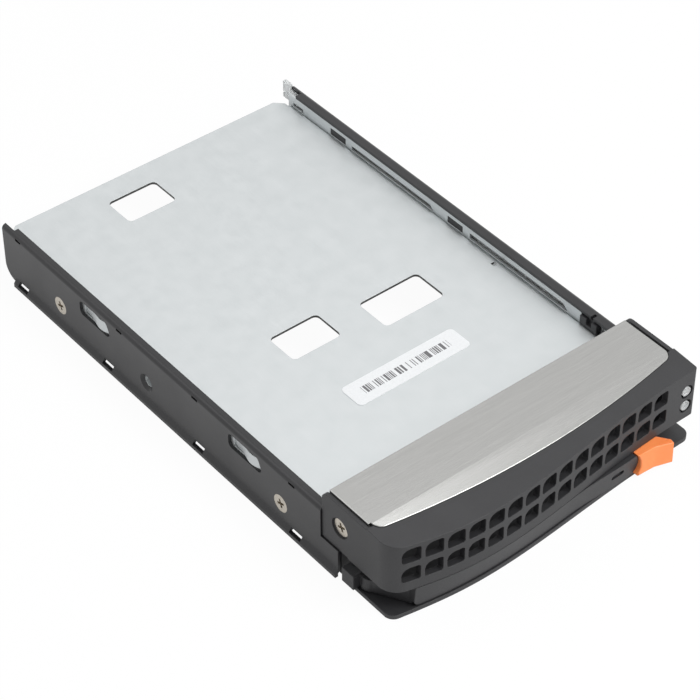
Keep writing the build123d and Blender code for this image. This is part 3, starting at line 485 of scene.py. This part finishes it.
# %% Torsion spring
wire_turn, coil_turns, coil_steps = 0.28 * MM, 2.5, 28
leg_end = 0.1 * MM
pin_low, pin_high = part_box("lever_pin")
pin = (pin_low + pin_high) / 2
low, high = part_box("lever_spring")
turn_radius = high.x - pin.x - wire_turn
first = low.z + wire_turn
rise = high.z - low.z - 2 * wire_turn
coils = helix(coil_turns, coil_steps, lambda angle, share: (
    pin.x + turn_radius * cos(angle),
    pin.y + turn_radius * sin(angle),
    first + rise * share))
long_leg = [(coils[0][0], low.y + leg_end, first)]
short_leg = [(coils[-1][0], high.y - leg_end, coils[-1][2])]
turn_spring = wound("wound_torsion_spring", long_leg + coils + short_leg, wire_turn)
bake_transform(turn_spring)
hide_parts("lever_spring")

# %% [markdown]
# ## Edges with a radius: the button and the plate
# No moulded edge is sharp: plastic needs a small radius to fill the mould and
# to let go of it, and a plate that hands touch has its burr taken off. The
# radius is what draws the bright line along each edge. The Bevel node gives
# that line on the dark mouldings, but the button's outline is soft too, and
# the plate's edge is the brightest line of the whole part. So these two solids
# are copied, their coplanar triangles are joined into whole faces, and a Bevel
# modifier rounds each edge by a weight, which shrinks where a neighbouring
# face is narrow, so that no corner is pushed through its neighbour.

# %% A copy with whole faces
weld, coplanar, in_line = 0.001 * MM, radians(0.5), 0.8


def whole_faces(name):
    """The faces of a CAD solid, with the triangles of each flat face joined."""
    shape = bmesh.new()
    shape.from_mesh(nodes[name].data)
    bmesh.ops.remove_doubles(shape, verts=shape.verts, dist=weld)
    bmesh.ops.dissolve_limit(shape, angle_limit=coplanar, verts=shape.verts, edges=shape.edges)
    return shape


def room(edge, sharp):
    """The shortest edge that a radius on this edge would eat into."""
    least = 1.0
    for corner in edge.verts:
        along = (edge.other_vert(corner).co - corner.co).normalized()
        for other in corner.link_edges:
            away = other.other_vert(corner).co - corner.co
            if other is edge or away.length == 0:
                continue
            if other in sharp and abs(along.dot(away.normalized())) > in_line:
                continue
            least = min(least, away.length)
    return least


def put(name, mesh, finish, body, node=None):
    """A new piece: its finish, its body, and the node it stands for."""
    mesh.name = name
    mesh.materials.clear()
    mesh.materials.append(finish)
    piece = bpy.data.objects.new(name, mesh)
    bpy.context.scene.collection.objects.link(piece)
    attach(piece, body)
    if node:
        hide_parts(node)
    return piece


print("the button has", len(whole_faces("release_button").faces), "whole faces")

# %% Rounded button
ordinary, room_share = radians(35), 0.45


def rounded(shape, radius_mm, crease, steps=2):
    """Round all edges beyond the ordinary angle; crease says where shading breaks."""
    weight = shape.edges.layers.float.new("bevel_weight_edge")
    turn = {edge: edge.calc_face_angle() for edge in shape.edges if edge.is_manifold}
    sharp = {edge for edge, angle in turn.items() if angle > ordinary}
    for edge in sharp:
        edge[weight] = min(1.0, room_share * room(edge, sharp) / (radius_mm * MM))
    for edge in shape.edges:
        edge.smooth = edge in sharp or turn.get(edge, pi) < crease
    for face in shape.faces:
        face.smooth = True
    draft_mesh = bpy.data.meshes.new("draft")
    shape.to_mesh(draft_mesh)
    shape.free()
    draft = bpy.data.objects.new("draft", draft_mesh)
    bpy.context.scene.collection.objects.link(draft)
    bevel = draft.modifiers.new("radius", "BEVEL")
    bevel.limit_method = "WEIGHT"
    bevel.width = radius_mm * MM
    bevel.segments = steps
    bevel.use_clamp_overlap = False
    flat = draft.modifiers.new("flat_faces", "WEIGHTED_NORMAL")
    flat.weight = 100
    flat.keep_sharp = True
    result = draft.evaluated_get(bpy.context.evaluated_depsgraph_get())
    mesh = bpy.data.meshes.new_from_object(result)
    bpy.data.objects.remove(draft)
    bpy.data.meshes.remove(draft_mesh)
    return mesh


button_radius_mm = 0.45
button_mesh = rounded(whole_faces("release_button"), button_radius_mm, ordinary, steps=3)
button_copy = put("release_button_rounded", button_mesh, orange_abs,
                  "button", "release_button")
print(button_copy.name, len(button_copy.data.polygons), "faces")

# %% [markdown]
# ## The plate's bright edge
# The plate sits on the bezel like a lid, and its sheared edge is rounded by
# the brushing, so it shines as one thin line against the black plastic. The
# copy's left and front edges are moved out by about a tenth of a millimetre,
# which closes the seam that the solids leave as working room.

# %% Plate with rounded edges
seam, plate_radius_mm, plate_crease = 0.12 * MM, 0.22, radians(2)
front_facing, near_edge = -0.7, 0.1 * MM
plate_shape = whole_faces("bezel_plate")
plate_left = min(v.co.x for v in plate_shape.verts)
for face in plate_shape.faces:
    face.tag = face.normal.y < front_facing
for vert in plate_shape.verts:
    if any(face.tag for face in vert.link_faces):
        vert.co.y -= seam
    if vert.co.x < plate_left + near_edge:
        vert.co.x -= seam
plate_mesh = rounded(plate_shape, plate_radius_mm, plate_crease)
plate_copy = put("bezel_plate_rounded", plate_mesh, brushed,
                 "chassis", "bezel_plate")
print(plate_copy.name, "left edge at", round((plate_left - seam) / MM, 2), "mm")

# %% [markdown]
# ## Lamp lenses
# The front end of each light pipe is a small round lens in a wider hole, so a
# dark ring shows round it. The lens is dished in its middle, which throws the
# lamp's light to the sides. The head of each pipe's copy is made slimmer,
# set back to the bezel's face, and its end face is dished.

# %% Slim, dished lenses
head_radius, head_length = 1.8 * MM, 4.5 * MM
core_radius, tip_length = 1.5 * MM, 0.1 * MM
lens_share, set_back = 0.83, 0.45 * MM
rim, dish_slope, dish_depth = 0.25 * MM, 0.3 * MM, 0.35 * MM
smooth_area = 2 * MM * MM
for name in ("light_pipe_lower", "light_pipe_upper"):
    shape = whole_faces(name)
    front_y = min(v.co.y for v in shape.verts)
    tip = [v for v in shape.verts if v.co.y < front_y + tip_length]
    head = [v for v in shape.verts if v.co.y < front_y + head_length]
    middle = sum((v.co for v in tip), Vector()) / len(tip)
    for vert in head:
        out = Vector((vert.co.x - middle.x, 0, vert.co.z - middle.z))
        if out.length > core_radius:
            vert.co -= out * (1 - lens_share)
    for vert in tip:
        vert.co.y += set_back
    end = [face for face in shape.faces if all(vert in tip for vert in face.verts)]
    bmesh.ops.inset_region(shape, faces=end, thickness=rim, depth=0)
    bmesh.ops.inset_region(shape, faces=end, thickness=dish_slope, depth=-dish_depth)
    for face in shape.faces:
        face.smooth = len(face.verts) == 4 and face.calc_area() < smooth_area
    mesh = bpy.data.meshes.new(name)
    shape.to_mesh(mesh)
    shape.free()
    lens = put(name + "_dished", mesh, clear_pc, "chassis", name)
    print(lens.name, "lens radius", round(lens_share * head_radius / MM, 2), "mm")

# %% [markdown]
# ## Painted shade: a black block beside the hinge
# Behind the lever's hook, a small black block closes the corner between the bezel's side arm
# and the base. It is a dark piece that stands in for the deep shade of the slot there, so that
# the floor does not show through. It is made of two blocks, one on the other, and the upper
# one is a little narrower. Both keep clear of the arc that the hook swings through.

# %% Shade block by the hinge
def block(shape, low, high):
    """One box between two corners, given in millimetres."""
    made = bmesh.ops.create_cube(shape, size=1.0)["verts"]
    for vert in made:
        vert.co = Vector([(a + (b - a) * (c + 0.5)) * MM
                          for a, b, c in zip(low, high, vert.co)])


# A black block that stands in for the shade in the slot beside the hinge.
shade_block_shape = bmesh.new()
shade_block_front, shade_block_rear, shade_block_right = -66.4, -62.9, -49.8
shade_block_foot, shade_block_step, shade_block_top = 0.3, 9.45, 10.9
lower_left, upper_left = -52.7, -52.15
block(shade_block_shape, (lower_left, shade_block_front, shade_block_foot), (shade_block_right, shade_block_rear, shade_block_step))
block(shade_block_shape, (upper_left, shade_block_front, shade_block_step), (shade_block_right, shade_block_rear, shade_block_top))
shade_block_mesh = bpy.data.meshes.new("shade_block")
shade_block_shape.to_mesh(shade_block_mesh)
shade_block_shape.free()
shade_block = put("hinge_shade_block", shade_block_mesh, black_abs, "chassis")
print(shade_block.name, len(shade_block.data.polygons), "faces")

# %% [markdown]
# ## Floor and studio
# The photograph has a plain white ground. A white floor under soft lights
# comes out light grey. So rays from the camera see the floor almost pure
# white, with a little of its own shade left to show the caddy's shadow. Rays
# off a glossy surface or through glass see it half white and half its own
# shade, so that the dark walls get darker near the ground. All three kinds of
# ray see the world pure white. Any other ray meets a plain white floor and a
# world at a plain level, so the whitening adds no light.

# %% Floor
def shown_rays(tree):
    """1 for rays from the camera, off a glossy surface or through glass, else 0."""
    path = add(tree, "ShaderNodeLightPath")
    first = add(tree, "ShaderNodeMath", operation="MAXIMUM",
                links={0: path.outputs["Is Camera Ray"], 1: path.outputs["Is Glossy Ray"]})
    both = add(tree, "ShaderNodeMath", operation="MAXIMUM",
               links={0: first.outputs["Value"], 1: path.outputs["Is Transmission Ray"]})
    return both.outputs["Value"]


span, floor_gap = 3.0, 0.2 * MM
corners = [(-span, -span, 0), (span, -span, 0), (span, span, 0), (-span, span, 0)]
floor_mesh = bpy.data.meshes.new("floor")
floor_mesh.from_pydata(corners, [], [(0, 1, 2, 3)])
floor = bpy.data.objects.new("floor", floor_mesh)
bpy.context.scene.collection.objects.link(floor)
floor.location.z = -floor_gap
ground_paper = bpy.data.materials.new("white_backdrop_paper")
ground_paper.use_nodes = True
tree = ground_paper.node_tree
shader = tree.nodes["Principled BSDF"]
shader.inputs["Base Color"].default_value = linear("#f4f4f4")
shader.inputs["Roughness"].default_value = 0.9
glow = add(tree, "ShaderNodeEmission", values={"Color": (1, 1, 1, 1), "Strength": 1.0})
seen_share, mirrored_share = 0.95, 0.5
path = add(tree, "ShaderNodeLightPath")
white = add(tree, "ShaderNodeMath", operation="MULTIPLY",
            links={0: shown_rays(tree)}, values={1: mirrored_share})
extra = add(tree, "ShaderNodeMath", operation="MULTIPLY",
            links={0: path.outputs["Is Camera Ray"]}, values={1: seen_share - mirrored_share})
share = add(tree, "ShaderNodeMath", operation="ADD",
            links={0: white.outputs["Value"], 1: extra.outputs["Value"]})
mixed = add(tree, "ShaderNodeMixShader",
            links={0: share.outputs["Value"], 1: shader.outputs[0], 2: glow.outputs[0]})
tree.links.new(mixed.outputs[0], tree.nodes["Material Output"].inputs["Surface"])
floor_mesh.materials.append(ground_paper)
print("floor", 2 * span, "m across")

# %% World
world = bpy.data.worlds.new("studio")
bpy.context.scene.world = world
world.use_nodes = True
tree = world.node_tree
seen = tree.nodes["Background"]
seen.inputs["Color"].default_value = (1, 1, 1, 1)
seen.inputs["Strength"].default_value = 1.0
fill_level = 0.4
fill = add(tree, "ShaderNodeBackground",
           values={"Color": linear("#fdfdff"), "Strength": fill_level})
mixed = add(tree, "ShaderNodeMixShader",
            links={0: shown_rays(tree), 1: fill.outputs[0], 2: seen.outputs[0]})
tree.links.new(mixed.outputs[0], tree.nodes["World Output"].inputs["Surface"])
print("world fill", fill_level)

# %% [markdown]
# ## Lights
# A large soft light stands above the rear left of the caddy and lights the
# tray from behind. A second and stronger one at the front right lights the
# button and the bezel's face. A third and much weaker one stands where
# the plate's sloped front edge mirrors it into the camera, so that this band
# is brighter than the level part of the plate, as in the photograph.

# %% Soft boxes
def soft_box(name, place_at, look_at, size, watts):
    """A large square lamp that faces a point."""
    lamp = bpy.data.lights.new(name, "AREA")
    lamp.size = size
    lamp.energy = watts
    box = bpy.data.objects.new(name, lamp)
    bpy.context.scene.collection.objects.link(box)
    box.location = place_at
    aim = Vector(look_at) - Vector(place_at)
    box.rotation_euler = aim.to_track_quat("-Z", "Y").to_euler()
    return box


key = soft_box("key_soft_box", (-0.5, 0.6, 1.3), (0, 0, 0), size=0.9, watts=2.8)
front = soft_box("front_soft_box", (0.35, -0.8, 1.05), (0, 0, 0.01), size=0.8, watts=15.5)
crest = soft_box("crest_soft_box", (0.37, 0.317, 1.014), (0, -0.075, 0.02),
                 size=0.25, watts=0.58)
print("lamps:", key.name, front.name, crest.name)

# %% [markdown]
# ## Camera
# The camera's place was worked out from the photograph: screws, window
# corners and straight edges of the rails were matched to their places in the
# picture, down to an error of about half a pixel. It stands to the front left
# and looks down at 42 degrees, through a long lens.

# %% Camera
camera_data = bpy.data.cameras.new("camera")
camera = bpy.data.objects.new("camera", camera_data)
bpy.context.scene.collection.objects.link(camera)
azimuth, elevation = radians(-39.126), radians(42.02)
back = Vector((sin(azimuth) * cos(elevation),
               -cos(azimuth) * cos(elevation),
               sin(elevation)))
camera.location = (-0.33778, -0.41987, 0.48760)
camera.rotation_euler = (-back).to_track_quat("-Z", "Y").to_euler()
camera_data.sensor_width = 36.0
camera_data.lens = 132.09
camera_data.clip_start = 0.01
bpy.context.scene.camera = camera
bpy.context.scene.view_settings.view_transform = "Standard"
print("lens", camera_data.lens, "mm at", [round(v, 3) for v in camera.location])
